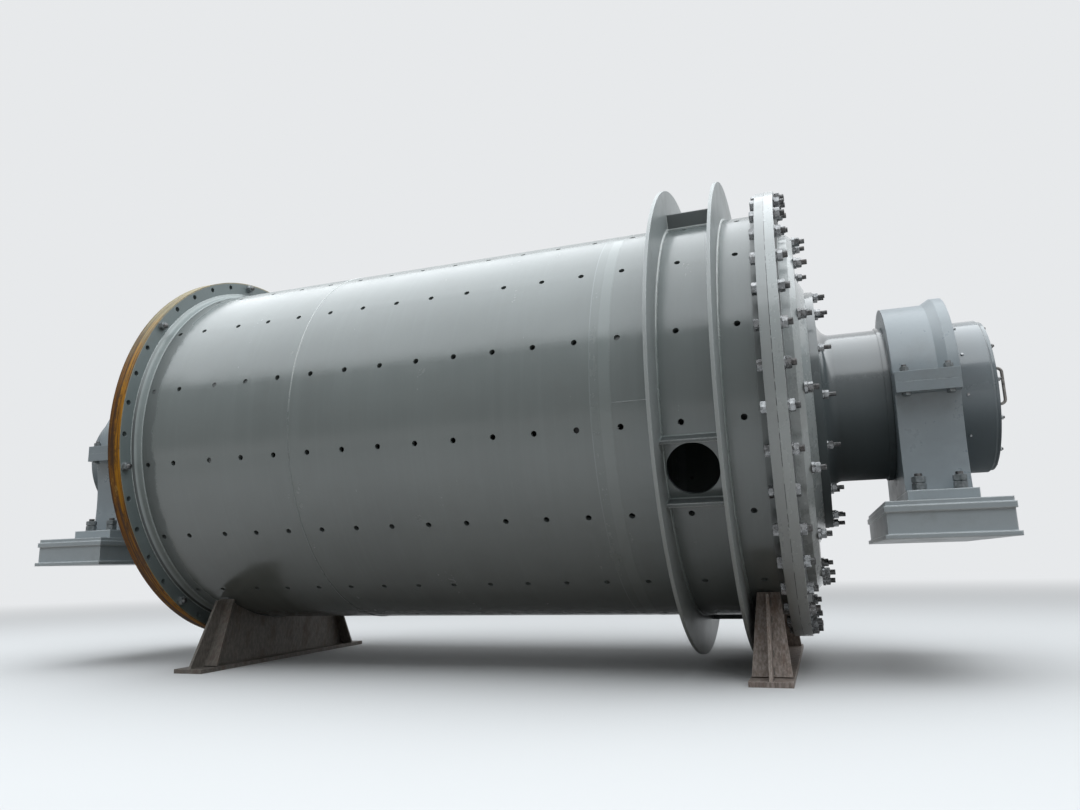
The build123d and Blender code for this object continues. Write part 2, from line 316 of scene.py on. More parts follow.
def painted_light_by_height(look, colour, low, high):
    """Painted light and shade by height: another colour below one height over the axis, and none of it above
    the other.
    """
    tree = look.tree
    wandering = plus(tree, look.height, waver(tree, look.patch, 1.2))
    look.tone = blend(tree, ease(tree, wandering, low, high), colour, look.tone)


def worn_and_highlit_edges(look, radius, wear_and_highlight, mottle, spread, colour):
    """Specks of dust, and pale rounded edges that are partly rubbed paint and partly a painted highlight.
    Gives the rounded normal.
    """
    tree = look.tree
    specks = ease(tree, noise(tree, look.place, 260.0, 2.0, 0.5), 0.72, 0.78)
    look.cover(times(tree, specks, 0.3 * mottle), SPECK_GREY)
    soft = rounded(tree, radius)
    rubbed_and_highlit = times(tree, edge_mask(tree, soft), ease(tree, noise(tree, look.place, 45.0, 4.0), *spread))
    # Edges turn pale: partly worn paint, partly a painted highlight
    look.cover(times(tree, rubbed_and_highlit, wear_and_highlight), colour or tuple(np.minimum(look.base * 2.1, PALEST_EDGE)))
    return soft


def joint_line(look, middle):
    """A fine dark line round the drum, broken in places, outside the shell."""
    tree = look.tree
    gap = times(tree, near(tree, look.x, middle, 0.0012, 0.003),
                calc(tree, "GREATER_THAN", look.radius, SHELL_RADIUS))
    gap = times(tree, gap, ease(tree, noise(tree, look.place, 14.0, 2.0), 0.34, 0.5))
    look.cover(gap, JOINT_BLACK)


def split_gap(look):
    """The fine gap between a bearing's halves, at the level of the drum's axis."""
    tree = look.tree
    gap = times(tree, near(tree, look.height, 0.0, 0.001, 0.0025),
                ease(tree, noise(tree, look.place, 3.0, 2.0), 0.46, 0.62, 0.05, 0.8))
    look.cover(gap, SPLIT_BLACK)


def rusted_rim(look):
    """The flange's rim as machined steel with orange, brown and pale rust, and a buff lip beside it."""
    tree = look.tree
    lip = times(tree, near(tree, look.radius, FLANGE_RADIUS - 0.004, 0.004, 0.009),
                ease(tree, noise(tree, look.place, 16.0, 5.0, 0.7), 0.38, 0.56, 0.25, 0.9))
    look.cover(lip, LIP_BUFF)
    rim = ease(tree, look.radius, FLANGE_RADIUS - 0.005, FLANGE_RADIUS - 0.002)
    film = noise(tree, stretched(tree, look.place, (70.0, 1.6, 1.6)), 1.0, 7.0, 0.68)
    blotch = noise(tree, stretched(tree, look.place, (9.0, 4.0, 4.0)), 1.0, 7.0, 0.72)
    rust = blend(tree, ease(tree, film, 0.38, 0.58), RUST_BROWN, RUST_ORANGE)
    feed_joint = DRUM_ZERO + FEED_FLANGE_THICKNESS
    head_side = ease(tree, look.x, feed_joint - 0.004, feed_joint + 0.004, 0.75, 0.0)
    old_rust = blend(tree, ease(tree, film, 0.42, 0.62), OLD_RUST_DARK, OLD_RUST_LIGHT)
    rust = blend(tree, head_side, rust, old_rust)
    rust = blend(tree, ease(tree, blotch, 0.5, 0.64, 0.0, 0.8), rust, BLOTCH_DARK)
    rust = blend(tree, ease(tree, blotch, 0.44, 0.34, 0.0, 0.75), rust, BLOTCH_LIGHT)
    pale = blend(tree, ease(tree, film, 0.36, 0.62), FILM_DARK, FILM_LIGHT)
    wandering = plus(tree, look.height, waver(tree, blotch, 1.6))
    rust = blend(tree, ease(tree, wandering, 0.35, 1.35, 0.0, 0.9), rust, pale)
    look.cover(rim, rust)
    rim_rough = ease(tree, film, 0.3, 0.7, 0.5, 0.68)
    look.rough = node(tree, "ShaderNodeMix", {0: rim, 2: look.rough, 3: rim_rough}).outputs[0]
    look.drive("Specular IOR Level", minus(tree, 1.0, times(tree, rim, 0.75)))


def paint(name, colour, roughness=0.34, edge_radius=0.004, wear_and_highlight=0.5, on_drum=False, marks=(), joint_lines=(),
          rust_rim=False, grime=0.35, split_line=False, mottle=1.0, coat=0.0, overspray=None, fillet_shade=None,
          shadow_face=None, painted_low_colour=None, shoulder=(0.35, 0.85), low_gloss=None, edge_spread=(0.35, 0.6),
          edge_highlight_colour=None):
    """Satin machine paint: patches, grime, edges partly worn and partly with a painted highlight, slightly
    wavy plate, and the extras asked for.

    marks, overspray, fillet_shade, shadow_face and low_gloss hold the arguments of round_mark,
    dull_overspray, painted_fillet_shade, painted_shadow_ring and gloss_above; the fillet shade and the shadow
    ring are painted shade. joint_lines are places along the drum. The paint turns to painted_low_colour below
    the shoulder, a (low, high) height over the axis, as painted light and shade. coat is the weight of the
    clear coat, and mottle that of the patches. wear_and_highlight is how far edges turn to
    edge_highlight_colour, a painted highlight, or without one to a paler shade of the paint, partly wear and
    partly a painted highlight, and edge_spread is the (low, high) part of the noise that breaks them up. An
    edge_radius of 0 leaves out rounded edges, specks, wear and highlight."""
    look = PaintLook(name, colour, roughness, mottle)
    if on_drum:
        spray_bands(look)
    for mark in marks:
        round_mark(look, *mark)
    if overspray:
        dull_overspray(look, *overspray)
    if fillet_shade:
        painted_fillet_shade(look, *fillet_shade)
    grimy(look, grime)
    if shadow_face:
        painted_shadow_ring(look, *shadow_face, coat)
    if low_gloss:
        gloss_above(look, *low_gloss, coat)
    if painted_low_colour:
        painted_light_by_height(look, painted_low_colour, *shoulder)
    if edge_radius:
        normal = worn_and_highlit_edges(look, edge_radius, wear_and_highlight, mottle, edge_spread, edge_highlight_colour)
    else:
        normal = node(look.tree, "ShaderNodeNewGeometry").outputs["Normal"]
    for middle in joint_lines:
        joint_line(look, middle)
    if split_line:
        split_gap(look)
    for pattern, depth in ((look.broad, 0.004), (look.patch, 0.0009), (look.cloud, 0.00025)):
        normal = bumped(look.tree, pattern, depth, normal)
    if rust_rim:
        rusted_rim(look)
    look.drive("Base Color", look.tone)
    look.drive("Roughness", look.rough)
    look.drive("Normal", normal)
    look.shader.inputs["Specular IOR Level"].default_value = 1.0
    look.shader.inputs["Coat Weight"].default_value = coat
    look.shader.inputs["Coat Roughness"].default_value = 0.07
    return look.material


def steel(name, colour, light, roughness, metallic, edge_radius=0.001, rust=0.3, streak=(1.0, 1.0, 1.0),
          rust_colour=(0.15, 0.06, 0.025)):
    """Bare or plated steel with a dull film, rust in patches and brighter edges."""
    material, tree, shader, place = new_material(name)
    grain = noise(tree, stretched(tree, place, streak), 30.0, 6.0, 0.65)
    patch = noise(tree, stretched(tree, place, streak), 7.0, 7.0, 0.7)
    tone = blend(tree, ease(tree, grain, 0.35, 0.7), colour, light)
    rusty = times(tree, ease(tree, patch, 0.46, 0.7), rust)
    tone = blend(tree, rusty, tone, rust_colour)
    soft = rounded(tree, edge_radius)
    edges = times(tree, edge_mask(tree, soft), ease(tree, noise(tree, place, 60.0, 3.0), 0.3, 0.55))
    tone = blend(tree, times(tree, edges, 0.6), tone, tuple(np.minimum(np.array(light) * 1.6, 0.8)))
    rough = plus(tree, ease(tree, grain, 0.3, 0.75, roughness - 0.08, roughness + 0.1),
                 times(tree, rusty, 0.35))
    tree.links.new(tone, shader.inputs["Base Color"])
    tree.links.new(rough, shader.inputs["Roughness"])
    tree.links.new(bumped(tree, grain, 0.0006, soft), shader.inputs["Normal"])
    shader.inputs["Metallic"].default_value = metallic
    return material


def painted_ends(material, colour):
    """Turn the faces that look along the drum from bare metal to paint."""
    tree = material.node_tree
    shader = tree.nodes["Principled BSDF"]
    local = node(tree, "ShaderNodeTexCoord").outputs["Normal"]
    facing = node(tree, "ShaderNodeSeparateXYZ", {0: local}).outputs[0]
    end_face = calc(tree, "GREATER_THAN", calc(tree, "ABSOLUTE", facing), 0.8)
    metal_tone = shader.inputs["Base Color"].links[0].from_socket
    tree.links.new(blend(tree, end_face, metal_tone, colour), shader.inputs["Base Color"])
    tree.links.new(calc(tree, "SUBTRACT", 0.9, end_face, True), shader.inputs["Metallic"])


# Places on the shell that its paint and its welds share
SECOND_WELD_OFFSET = 0.11
first_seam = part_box("shell_feed_course")[1].x
second_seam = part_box("shell_middle_course")[1].x
second_weld = second_seam + SECOND_WELD_OFFSET
collar_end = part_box("feed_collar")[1].x
feed_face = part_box("shell_feed_flange")[1].x
inner_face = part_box("shell_discharge_flange")[0].x
outer_face = JOINT_X + HEAD_FLANGE_THICKNESS

# Paints of the drum. The shell's marks are (x, half width, lightness, change in roughness).
SHELL_GREY = (0.167, 0.193, 0.191)
TRUNNION_GREY = (0.096, 0.114, 0.12)
OVERSPRAY = (along(204), along(316))
# Painted shadow: a dark ring on the head flange's outer face, from the neck out to near the rim
SHADOW_RING = (outer_face, 1.44, 1.765)
shell_marks = ((first_seam, 0.012, 1.2, 0.0), (second_weld - 0.041, 0.042, 1.3, -0.05),
               (second_weld - 0.147, 0.004, 1.5, -0.05), (second_weld - 0.115, 0.03, 1.1, 0.03),
               (inner_face - 0.022, 0.026, 0.5, 0.15))
shell_paint = paint("shell_paint_look", SHELL_GREY, roughness=0.21, edge_radius=0, on_drum=True,
                    marks=shell_marks, mottle=0.4, grime=0.12, overspray=OVERSPRAY)
rim_paint = paint("rim_paint_look", (0.135, 0.166, 0.169), roughness=0.4, on_drum=True, rust_rim=True)
# The collar's dark line in its hollow is painted shade.
collar_paint = paint("collar_paint_look", (0.29, 0.33, 0.33), roughness=0.4, on_drum=True,
                     fillet_shade=(SHELL_RADIUS + 0.031, 0.0115))
flange_paint = paint("flange_paint_look", (0.275, 0.298, 0.3), roughness=0.3, on_drum=True,
                     joint_lines=(JOINT_X,), wear_and_highlight=0.7, coat=0.3, mottle=0.6)
# The rings' fully pale edges are partly a painted highlight.
ring_paint = paint("ring_paint_look", (0.305, 0.333, 0.335), roughness=0.38, edge_radius=0.006, on_drum=True,
                   wear_and_highlight=1.0, grime=0.3, mottle=0.6, edge_spread=(0.25, 0.5))
# Darker copy of the ring paint as painted shade on the cross plates, with a painted highlight on their edges
shaded_cross_paint = paint("cross_plate_shaded_paint_look", (0.085, 0.098, 0.098), roughness=0.5, edge_radius=0.012,
                    on_drum=True, wear_and_highlight=1.0, grime=0.2, edge_spread=(0.15, 0.35),
                    edge_highlight_colour=(0.7, 0.74, 0.74))
# The head's outer flange face carries a painted shadow ring.
head_paint = paint("head_paint_look", (0.33, 0.362, 0.365), roughness=0.26, edge_radius=0.008, on_drum=True,
                   wear_and_highlight=0.7, coat=0.5, mottle=0.5, joint_lines=(JOINT_X,), shadow_face=SHADOW_RING)
trunnion_paint = paint("trunnion_paint_look", TRUNNION_GREY, roughness=0.2, edge_radius=0.006, on_drum=True,
                       wear_and_highlight=0.4, grime=0.12, mottle=0.5, coat=0.6, low_gloss=(-0.3, 0.25))
end_drum_paint = paint("end_drum_paint_look", (0.14, 0.169, 0.186), roughness=0.2, edge_radius=0.006,
                       on_drum=True, wear_and_highlight=0.4, grime=0.12, mottle=0.5, coat=0.6, low_gloss=(-0.35, 0.1))
# Welds pale above the axis and darker below it: the pale upper tone is a painted highlight
highlit_weld_paint = paint("highlit_weld_paint_look", (0.54, 0.57, 0.56), roughness=0.36, edge_radius=0,
                   painted_low_colour=(0.25, 0.29, 0.285), shoulder=(0.1, 0.8))
# The first seam's bead is pale from about the axis upward: a painted highlight
highlit_seam_paint = paint("highlit_seam_paint_look", (0.46, 0.49, 0.485), roughness=0.3, edge_radius=0,
                   painted_low_colour=SHELL_GREY, shoulder=(-0.1, 0.5))

# Paints of the bearings and sole frames
BEARING_GREY = (0.222, 0.262, 0.287)
PLATE_GREY = (0.325, 0.37, 0.395)
# The bearings' paler lower part is painted bounce light.
bearing_paint = paint("bearing_paint_look", BEARING_GREY, roughness=0.33, edge_radius=0.006, wear_and_highlight=0.6,
                      split_line=True, painted_low_colour=(0.29, 0.335, 0.365), shoulder=(-1.05, -0.15))
# The plates' pale edge colour is a painted highlight.
plate_paint = paint("plate_paint_look", PLATE_GREY, roughness=0.36, edge_radius=0.013, wear_and_highlight=1.0, grime=0.35,
                    edge_spread=(0.15, 0.35), edge_highlight_colour=(0.74, 0.8, 0.82))

# Steel of the nuts, studs, plugs, handles and cradles, and the bronze of the bushes
nut_steel = steel("nut_steel_look", (0.16, 0.165, 0.168), (0.42, 0.43, 0.44), 0.25, 0.8, rust=0.15)
stud_steel = steel("stud_steel_look", (0.07, 0.07, 0.07), (0.24, 0.24, 0.24), 0.36, 0.8, rust=0.2)
dark_nut = steel("painted_nut_look", (0.13, 0.15, 0.155), (0.26, 0.28, 0.29), 0.34, 0.25, rust=0.12)
plug_steel = steel("plug_steel_look", (0.085, 0.095, 0.095), (0.17, 0.185, 0.185), 0.5, 0.2, rust=0.2)
dark_plug = steel("dark_plug_look", (0.02, 0.02, 0.02), (0.04, 0.04, 0.04), 0.6, 0.2, rust=0.2)
handle_steel = steel("handle_steel_look", (0.2, 0.19, 0.18), (0.4, 0.38, 0.36), 0.4, 0.5, edge_radius=0.002,
                     rust=0.4)
dark_cradle = steel("dark_cradle_steel_look", (0.12, 0.108, 0.096), (0.21, 0.192, 0.172), 0.55, 0.15,
                    edge_radius=0.006, rust=0.5, streak=(1.4, 1.4, 0.7), rust_colour=(0.115, 0.07, 0.045))
light_cradle = steel("light_cradle_steel_look", (0.2, 0.165, 0.145), (0.42, 0.365, 0.33), 0.6, 0.15,
                     edge_radius=0.006, rust=0.5, streak=(2.2, 2.2, 0.35), rust_colour=(0.15, 0.08, 0.05))
bush_bronze = steel("bronze_look", (0.42, 0.3, 0.13), (0.6, 0.45, 0.22), 0.32, 0.9, rust=0.3,
                    rust_colour=(0.1, 0.07, 0.03))
painted_ends(bush_bronze, BEARING_GREY)

# Which look each solid wears
LOOKS = {"shell_feed_course": shell_paint, "shell_middle_course": shell_paint,
         "shell_discharge_course": shell_paint, "feed_collar": collar_paint, "shell_feed_flange": rim_paint,
         "feed_head": rim_paint, "shell_discharge_flange": flange_paint, "discharge_head": head_paint,
         "discharge_ring_inner": ring_paint, "discharge_ring_outer": ring_paint,
         "discharge_cross_plates": shaded_cross_paint}
for end in ENDS:
    LOOKS[f"{end}_trunnion"] = trunnion_paint
    LOOKS[f"{end}_seal_ring"] = trunnion_paint
    LOOKS[f"{end}_end_drum"] = end_drum_paint
    LOOKS[f"{end}_end_cover"] = end_drum_paint
    LOOKS[f"{end}_cover_handle"] = handle_steel
    LOOKS[f"{end}_bearing_bush"] = bush_bronze
    LOOKS[f"{end}_bearing_cap"] = bearing_paint
    LOOKS[f"{end}_bearing_housing"] = bearing_paint
    LOOKS[f"{end}_bearing_base"] = plate_paint
    LOOKS[f"{end}_sole_frame"] = plate_paint
    for part in ("web", "sides", "ribs", "base"):
        LOOKS[f"{end}_cradle_{part}"] = dark_cradle if end == "feed" else light_cradle
for name, look in LOOKS.items():
    for place in frame["nodes"][name].material_slots:
        place.material = look


# Shapes of pieces
def make(name, points, faces, look, body, slot, sharp_angle=35):
    """Mesh piece in the row frame that rides on a body."""
    mesh = bpy.data.meshes.new(name)
    mesh.from_pydata(np.asarray(points).tolist(), [], faces)
    mesh.validate()
    mesh.materials.append(look)
    mesh.shade_smooth()
    mesh.set_sharp_from_angle(angle=radians(sharp_angle))
    piece = bpy.data.objects.new(name, mesh)
    bpy.context.scene.collection.objects.link(piece)
    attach(piece, body)
    return piece


def joined(parts):
    """One (points, faces) shape from several."""
    points, faces, count = [], [], 0
    for shape_points, shape_faces in parts:
        points.append(shape_points)
        faces += [[index + count for index in face] for face in shape_faces]
        count += len(shape_points)
    return np.concatenate(points), faces


def set_at(shape, places):
    """The shape repeated at each 4 x 4 matrix."""
    points, faces = shape
    parts = []
    for place in places:
        matrix = np.array(place)
        parts.append((points @ matrix[:3, :3].T + matrix[:3, 3], faces))
    return joined(parts)


def band_between(low, high, count):
    """Four-sided faces between two rings of points that start at the indices low and high."""
    faces = []
    for index in range(count):
        after = (index + 1) % count
        faces.append([low + index, low + after, high + after, high + index])
    return faces


def rings_of(rows):
    """Closed skin over rings of points, each with the same count, with a flat cap at both ends."""
    count = len(rows[0])
    points = np.concatenate(rows)
    faces = []
    for row in range(len(rows) - 1):
        faces += band_between(row * count, (row + 1) * count, count)
    faces.append(list(range(count))[::-1])
    faces.append(list(range(len(points) - count, len(points))))
    return points, faces


def circle_row(radius, height, count):
    """Ring of points round z."""
    turn = np.arange(count) * tau / count
    return np.stack([radius * np.cos(turn), radius * np.sin(turn), np.full(count, height)], axis=1)


def drum_circle(x, radius, count):
    """Ring of points round the drum's axis. x is one value, or one for each point."""
    turn = np.arange(count) * tau / count
    across = np.broadcast_to(x, count)
    return np.stack([across, -radius * np.cos(turn), AXIS_HEIGHT + radius * np.sin(turn)], axis=1)


def turned_ring(profile, count):
    """Closed ring round the drum's axis with a closed profile of (x, radius) points."""
    faces = []
    for row in range(len(profile)):
        faces += band_between(row * count, (row + 1) % len(profile) * count, count)
    return np.concatenate([drum_circle(x, radius, count) for x, radius in profile]), faces


def washer(radius, thickness, count=32):
    """Round disc with a small bevel at both faces."""
    bevel = min(0.0015, thickness / 4)
    return rings_of([circle_row(radius - bevel, 0.0, count), circle_row(radius, bevel, count),
                     circle_row(radius, thickness - bevel, count),
                     circle_row(radius - bevel, thickness, count)])


def hex_nut(flats, height, low=0.0, both=True):
    """Hexagon nut with rounded-off corners, as a turned chamfer leaves them, at both faces or the top one."""
    count = 36
    chamfer_slope = 0.58
    face_share = 0.93
    turn = np.arange(count) * tau / count
    half = flats / 2
    sector = (turn + radians(30)) % radians(60) - radians(30)
    reach = half / np.cos(sector)
    drop = (reach - half) * chamfer_slope
    face_radius = half * face_share
    lip = (half - face_radius) * 0.5
    foot = drop + lip if both else lip * 0.3
    rows = []
    for radii, level in ((face_radius, low), (reach, low + foot), (reach, low + height - drop - lip),
                         (face_radius, low + height)):
        level = np.broadcast_to(level, count)
        rows.append(np.stack([radii * np.cos(turn), radii * np.sin(turn), level], axis=1))
    return rings_of(rows)


def stud(radius, low, high, pitch=0.0045, count=16):
    """Threaded stud end with a chamfered tip."""
    rows = []
    level = low
    root_radius = radius - radius * 0.07
    while level < high - pitch * 1.2:
        rows.append(circle_row(radius, level, count))
        rows.append(circle_row(root_radius, level + pitch / 2, count))
        level += pitch
    rows.append(circle_row(radius, level, count))
    rows.append(circle_row(radius * 0.84, high, count))
    return rings_of(rows)


# Where bolts stand
def random_spin():
    """Turn round z by up to one side of a hexagon."""
    return Matrix.Rotation(rng.uniform(0, radians(60)), 4, "Z")


def drum_matrix(columns, x, radius, out):
    """Matrix with three columns, at a radius from the drum's axis along the direction out."""
    place = Matrix(columns).transposed().to_4x4()
    place.translation = Vector((x, out.y * radius, AXIS_HEIGHT + out.z * radius))
    return place


def away(angle):
    """Direction from the drum's axis at an angle. Angle 0 is on the -Y side, and 90 is up."""
    turn = radians(angle)
    return Vector((0, -cos(turn), sin(turn)))


def on_drum(x, radius, angle, toward=1):
    """Matrix of a place on the drum whose z runs along the axis, toward +x or -x."""
    out = away(angle)
    axis = Vector((toward, 0, 0))
    return drum_matrix((out, axis.cross(out), axis), x, radius, out) @ random_spin()


def outward(x, radius, angle):
    """Matrix of a place on the drum whose z runs outward from the axis."""
    out = away(angle)
    axis = Vector((1, 0, 0))
    return drum_matrix((axis, out.cross(axis), out), x, radius, out) @ random_spin()


def upright(x, y, z, up=True):
    """Matrix of a place whose z runs up or down."""
    place = Matrix.Translation((x, y, z)) @ random_spin()
    return place if up else place @ Matrix.Rotation(pi, 4, "X")


NUT_GAP = 0.001
STUD_START = 0.004


def fasten(name, places, body, slot, flats, nut_height, washer_radius, washer_thickness, stud_radius,
           stud_rise, nuts=1, nut_look=None):
    """Washers, nuts and threaded stud ends at each place, as two pieces: nuts and studs."""
    level = washer_thickness
    parts = [washer(washer_radius, washer_thickness)]
    for _ in range(nuts):
        parts.append(hex_nut(flats, nut_height, level))
        level += nut_height + NUT_GAP
    make(f"{name}_nuts", *set_at(joined(parts), places), nut_look or nut_steel, body, slot)
    if stud_rise:
        ends = set_at(stud(stud_radius, level - STUD_START, level + stud_rise), places)
        make(f"{name}_studs", *ends, stud_steel, body, slot, 50)


def bolt_heads(name, places, body, slot, flats, height, look=None):
    """Hexagon heads at each place, as one piece."""
    make(name, *set_at(hex_nut(flats, height, both=False), places), look or nut_steel, body, slot)


# Flange bolts: every fifth hole of the feed flange, and every hole of the discharge flange
HOLE_STEP = 9.0
HOLE_COUNT = 40
FEED_PHASE = -1.0
DISCHARGE_PHASE = 0.5
REVERSED_STUD = -3
FEED_FLANGE_BOLT = {"flats": 0.065, "nut_height": 0.034, "washer_radius": 0.039, "washer_thickness": 0.007,
                    "stud_radius": 0.021, "stud_rise": 0.022}
DISCHARGE_STUD = {"flats": 0.075, "nut_height": 0.038, "washer_radius": 0.046, "washer_thickness": 0.008,
                  "stud_radius": 0.024, "stud_rise": 0.03}
SHORT_STUD = {"flats": 0.075, "nut_height": 0.033, "washer_radius": 0.046, "washer_thickness": 0.005,
              "stud_radius": 0.024, "stud_rise": 0}
FEED_HEAD_HEIGHT = 0.026
DISCHARGE_HEAD_HEIGHT = 0.038
SHORT_HEAD_HEIGHT = 0.03

feed_angles = [FEED_PHASE + HOLE_STEP * (4 - 5 * index) for index in range(8)]
fasten("feed_flange", [on_drum(feed_face, FEED_CIRCLE_RADIUS, angle) for angle in feed_angles],
       "drum", "flange_paint", **FEED_FLANGE_BOLT, nut_look=dark_nut)
bolt_heads("feed_flange_heads", [on_drum(DRUM_ZERO, FEED_CIRCLE_RADIUS, angle, -1) for angle in feed_angles],
           "drum", "flange_paint", FEED_FLANGE_BOLT["flats"], FEED_HEAD_HEIGHT)


def discharge_spots(x, angles, toward=1):
    """Matrices at the holes of the discharge flange."""
    return [on_drum(x, DISCHARGE_CIRCLE_RADIUS, angle, toward) for angle in angles]


outer_angles = [DISCHARGE_PHASE + HOLE_STEP * index for index in range(HOLE_COUNT)
                if index != REVERSED_STUD % HOLE_COUNT]
reversed_angles = [DISCHARGE_PHASE + HOLE_STEP * REVERSED_STUD]
fasten("discharge_flange", discharge_spots(outer_face, outer_angles), "drum", "flange_paint",
       **DISCHARGE_STUD)
bolt_heads("discharge_flange_heads", discharge_spots(inner_face, outer_angles, -1), "drum", "flange_paint",
           DISCHARGE_STUD["flats"], DISCHARGE_HEAD_HEIGHT)
fasten("reversed_stud", discharge_spots(inner_face, reversed_angles, -1), "drum", "flange_paint",
       **SHORT_STUD)
bolt_heads("reversed_stud_head", discharge_spots(outer_face, reversed_angles), "drum", "flange_paint",
           SHORT_STUD["flats"], SHORT_HEAD_HEIGHT)

# Bolts of the heads and of the trunnions' flanges: (direction, face of each in mm along the drum)
RING_BOLT_STEP = 22.5
RING_BOLT_PHASE = -3.5
HEAD_BOLT_CIRCLE = 1.383
TRUNNION_BOLT_CIRCLE = 0.9305
HEAD_BOLT_FACES = {"discharge": (1, 5578, 5694), "feed": (-1, -104, -220)}
HEAD_BOLT = {"flats": 0.063, "nut_height": 0.036, "washer_radius": 0.041, "washer_thickness": 0.022,
             "stud_radius": 0.02, "stud_rise": 0.036}
TRUNNION_BOLT = {"flats": 0.055, "nut_height": 0.034, "washer_radius": 0.033, "washer_thickness": 0.01,
                 "stud_radius": 0.0165, "stud_rise": 0.048}

ring_angles = [RING_BOLT_PHASE + RING_BOLT_STEP * index for index in range(16)]
for end, (toward, head_mm, seat_mm) in HEAD_BOLT_FACES.items():
    fasten(f"{end}_head", [on_drum(along(head_mm), HEAD_BOLT_CIRCLE, angle, toward) for angle in ring_angles],
           "drum", "cast_paint", **HEAD_BOLT)
    seats = [on_drum(along(seat_mm), TRUNNION_BOLT_CIRCLE, angle, toward) for angle in ring_angles]
    fasten(f"{end}_trunnion", seats, "drum", "cast_paint", **TRUNNION_BOLT)

# Bearings: lug bolts and base bolts, by their distances from the middle of the bearing
LUG_HALF_HEIGHT = 0.075
LUG_BOLT_SIDE = 0.828
LUG_BOLT_ALONG = (-0.142, 0.142)
LUG_HEAD_HEIGHT = 0.024
BASE_BOLT_SIDE = 0.83
BASE_BOLT_ALONG = (-0.132, 0.124)
LUG_BOLT = {"flats": 0.055, "nut_height": 0.03, "washer_radius": 0.032, "washer_thickness": 0.005,
            "stud_radius": 0.018, "stud_rise": 0.016}
BASE_BOLT = {"flats": 0.082, "nut_height": 0.044, "washer_radius": 0.05, "washer_thickness": 0.01,
             "stud_radius": 0.026, "stud_rise": 0.02}

# Small screws of the end drums: on the rim, and on the cover
SCREW_STEP = 30
SCREW_COUNT = 12
RIM_SCREW_ALONG = 0.283
RIM_SCREW_RADIUS = 0.5895
RIM_SCREW_PHASE = -7.8
RIM_SCREW_FLATS = 0.019
RIM_SCREW_HEIGHT = 0.009
COVER_SCREW_CIRCLE = 0.535
COVER_SCREW_PHASE = -27.5
COVER_SCREW = {"flats": 0.03, "nut_height": 0.016, "washer_radius": 0.018, "washer_thickness": 0.003,
               "stud_radius": 0.01, "stud_rise": 0.008}


def bearing_bolts(end, centre, base_top):
    """Clamping bolts through the lugs, and double-nutted bolts on the base plate."""
    spots = [(centre + dx, side * LUG_BOLT_SIDE) for side in (-1, 1) for dx in LUG_BOLT_ALONG]
    fasten(f"{end}_lug", [upright(x, y, AXIS_HEIGHT + LUG_HALF_HEIGHT) for x, y in spots], "supports",
           "bearing_paint", **LUG_BOLT, nut_look=dark_nut)
    bolt_heads(f"{end}_lug_heads", [upright(x, y, AXIS_HEIGHT - LUG_HALF_HEIGHT, False) for x, y in spots],
               "supports", "bearing_paint", LUG_BOLT["flats"], LUG_HEAD_HEIGHT, dark_nut)
    spots = [(centre + dx, side * BASE_BOLT_SIDE) for side in (-1, 1) for dx in BASE_BOLT_ALONG]
    fasten(f"{end}_base", [upright(x, y, base_top) for x, y in spots], "supports", "bearing_paint",
           **BASE_BOLT, nuts=2, nut_look=dark_nut)


def end_drum_screws(end, centre):
    """Screws round the end drum's rim, and bolts on its cover."""
    toward = 1 if end == "discharge" else -1
    steps = [SCREW_STEP * index for index in range(SCREW_COUNT)]
    screw_x = centre + toward * RIM_SCREW_ALONG
    screws = [outward(screw_x, RIM_SCREW_RADIUS, RIM_SCREW_PHASE + step) for step in steps]
    bolt_heads(f"{end}_drum_screws", screws, "drum", "cast_paint", RIM_SCREW_FLATS, RIM_SCREW_HEIGHT)
    cover_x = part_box(f"{end}_end_cover")[1 if toward > 0 else 0].x
    bolts = [on_drum(cover_x, COVER_SCREW_CIRCLE, COVER_SCREW_PHASE + step, toward) for step in steps]
    fasten(f"{end}_cover", bolts, "drum", "cast_paint", **COVER_SCREW)


for end in ENDS:
    base_low, base_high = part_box(f"{end}_bearing_base")
    bearing_x = (base_low.x + base_high.x) / 2
    bearing_bolts(end, bearing_x, base_high.z)
    end_drum_screws(end, bearing_x)


# Shapes of weld beads
RIPPLE = 0.1
UNEVENNESS = 0.08


def bead(points, radius, closed, pitch=0.011, sides=8):
    """Weld bead: a rippled tube along close points."""
    path = np.asarray(points, float)
    count = len(path)
    if closed:
        ahead = np.roll(path, -1, axis=0) - np.roll(path, 1, axis=0)
    else:
        ahead = np.gradient(path, axis=0)
    ahead /= np.linalg.norm(ahead, axis=1)[:, None]
    other = np.where(np.abs(ahead[:, :1]) > 0.8, (0.0, 0.0, 1.0), (1.0, 0.0, 0.0))
    first = np.cross(ahead, other)
    first /= np.linalg.norm(first, axis=1)[:, None]
    second = np.cross(ahead, first)
    steps = np.linalg.norm(np.diff(path, axis=0, append=path[:1] if closed else path[-1:]), axis=1)
    travel = np.cumsum(steps)
    ripple = 1 + RIPPLE * np.sin(travel * tau / pitch) + UNEVENNESS * rng.standard_normal(count)
    if not closed:
        ripple[0] *= 0.5
        ripple[-1] *= 0.5
    turn = np.arange(sides) * tau / sides
    ring = first[:, None] * np.cos(turn)[None, :, None] + second[:, None] * np.sin(turn)[None, :, None]
    skin = path[:, None] + ring * (radius * ripple)[:, None, None]
    faces = []
    for row in range(count if closed else count - 1):
        faces += band_between(row * sides, (row + 1) % count * sides, sides)
    if not closed:
        faces.append(list(range(sides))[::-1])
        faces.append(list(range((count - 1) * sides, count * sides)))
    return skin.reshape(-1, 3), faces


